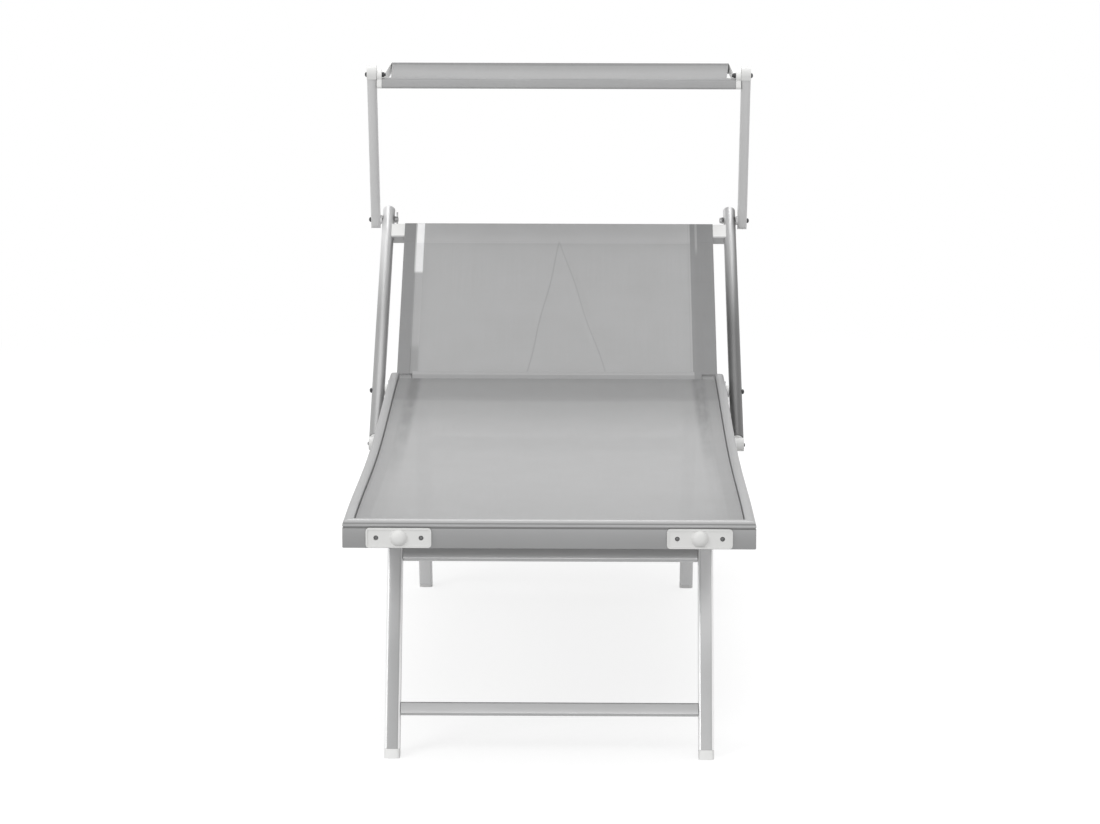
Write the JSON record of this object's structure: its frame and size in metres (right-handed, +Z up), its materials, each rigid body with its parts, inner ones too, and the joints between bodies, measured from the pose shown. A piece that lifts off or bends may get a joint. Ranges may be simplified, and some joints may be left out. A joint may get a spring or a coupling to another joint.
{
  "type": "folding sun lounger with canopy",
  "caption": "Folding sun lounger: tensioned mesh bed on a tube frame with splayed legs, a reclining mesh backrest and a small tilting canopy on two posts.",
  "frame": {"origin": "on the ground, in the middle of the rectangle that the whole lounger covers", "axes": "+X to the right as seen from the foot end, +Y from the foot end to the head end, +Z up"},
  "size_m": [0.7746, 2.0916, 0.9777],
  "materials": {
    "mesh_fabric": "woven open mesh, light grey",
    "anodised_aluminium": "satin anodised",
    "polished_aluminium": "brushed bright",
    "plated_steel": "zinc plated",
    "white_nylon": "moulded, slightly glossy",
    "painted_tube": "light grey powder coat"
  },
  "bodies": {
    "bed": {"foot_crossbar": "anodised_aluminium", "seat_rear_bar": "anodised_aluminium", "seat_fabric": "mesh_fabric", "side_rail_left": "anodised_aluminium", "side_rail_right": "anodised_aluminium", "rail_end_plug_left": "white_nylon", "rail_end_plug_right": "white_nylon", "bumper_plate_left": "white_nylon", "bumper_plate_right": "white_nylon", "quadrant_plate_left": "plated_steel", "quadrant_plate_right": "plated_steel", "hinge_bush_left": "white_nylon", "hinge_bush_right": "white_nylon", "front_hinge_block_left": "white_nylon", "front_hinge_block_right": "white_nylon", "front_leg_bolt_left": "plated_steel", "front_leg_bolt_right": "plated_steel", "rear_hinge_block_left": "white_nylon", "rear_hinge_block_right": "white_nylon", "rear_leg_bolt_left": "plated_steel", "rear_leg_bolt_right": "plated_steel"},
    "front_legs": {"front_upper_cross_tube": "anodised_aluminium", "front_lower_cross_tube": "anodised_aluminium", "front_leg_left": "polished_aluminium", "front_leg_right": "polished_aluminium", "front_foot_cap_left": "white_nylon", "front_foot_cap_right": "white_nylon"},
    "rear_legs": {"rear_upper_cross_tube": "anodised_aluminium", "rear_lower_cross_tube": "anodised_aluminium", "rear_leg_left": "polished_aluminium", "rear_leg_right": "polished_aluminium", "rear_foot_cap_left": "white_nylon", "rear_foot_cap_right": "white_nylon"},
    "backrest": {"pivot_tube": "anodised_aluminium", "back_top_bar": "anodised_aluminium", "back_fabric": "mesh_fabric", "arm_left": "polished_aluminium", "arm_right": "polished_aluminium", "arm_eye_left": "white_nylon", "arm_eye_right": "white_nylon", "back_side_tube_left": "anodised_aluminium", "back_side_tube_right": "anodised_aluminium", "pivot_bolt_left": "plated_steel", "pivot_bolt_right": "plated_steel", "post_bolt_left": "plated_steel", "post_bolt_right": "plated_steel"},
    "canopy_posts": {"canopy_post_left": "painted_tube", "canopy_post_right": "painted_tube", "post_cap_left": "white_nylon", "post_cap_right": "white_nylon"},
    "canopy": {"canopy_fabric": "mesh_fabric", "canopy_front_bar": "anodised_aluminium", "canopy_rear_bar": "anodised_aluminium", "canopy_side_bar_left": "white_nylon", "canopy_side_bar_right": "white_nylon", "canopy_bolt_left": "plated_steel", "canopy_bolt_right": "plated_steel"},
    "wing_nut_left": {"wing_nut_left": "white_nylon"},
    "wing_nut_right": {"wing_nut_right": "white_nylon"}
  },
  "joints": [
    {"name": "front_legs_fold", "type": "hinge", "parent": "bed", "child": "front_legs", "pos_m": [0, -0.80854, 0.36648], "axis": [1, 0, 0], "range_deg": [0, 105]},
    {"name": "rear_legs_fold", "type": "hinge", "parent": "bed", "child": "rear_legs", "pos_m": [0, 0.13146, 0.36505], "axis": [1, 0, 0], "range_deg": [-105, 0]},
    {"name": "backrest_recline", "type": "hinge", "parent": "bed", "child": "backrest", "pos_m": [0, 0.36946, 0.369], "axis": [1, 0, 0], "range_deg": [-35.5, 30]},
    {"name": "post_fold", "type": "hinge", "parent": "backrest", "child": "canopy_posts", "pos_m": [0, 0.76959, 0.65442], "axis": [1, 0, 0], "range_deg": [-25, 45]},
    {"name": "canopy_tilt", "type": "hinge", "parent": "canopy_posts", "child": "canopy", "pos_m": [0, 0.65984, 0.95926], "axis": [1, 0, 0], "range_deg": [-35, 70]},
    {"name": "wing_nut_left_turn", "type": "hinge", "parent": "backrest", "child": "wing_nut_left", "pos_m": [-0.331, 0.76959, 0.65442], "axis": [1, 0, 0], "continuous": true},
    {"name": "wing_nut_right_turn", "type": "hinge", "parent": "backrest", "child": "wing_nut_right", "pos_m": [0.331, 0.76959, 0.65442], "axis": [1, 0, 0], "continuous": true}
  ]
}
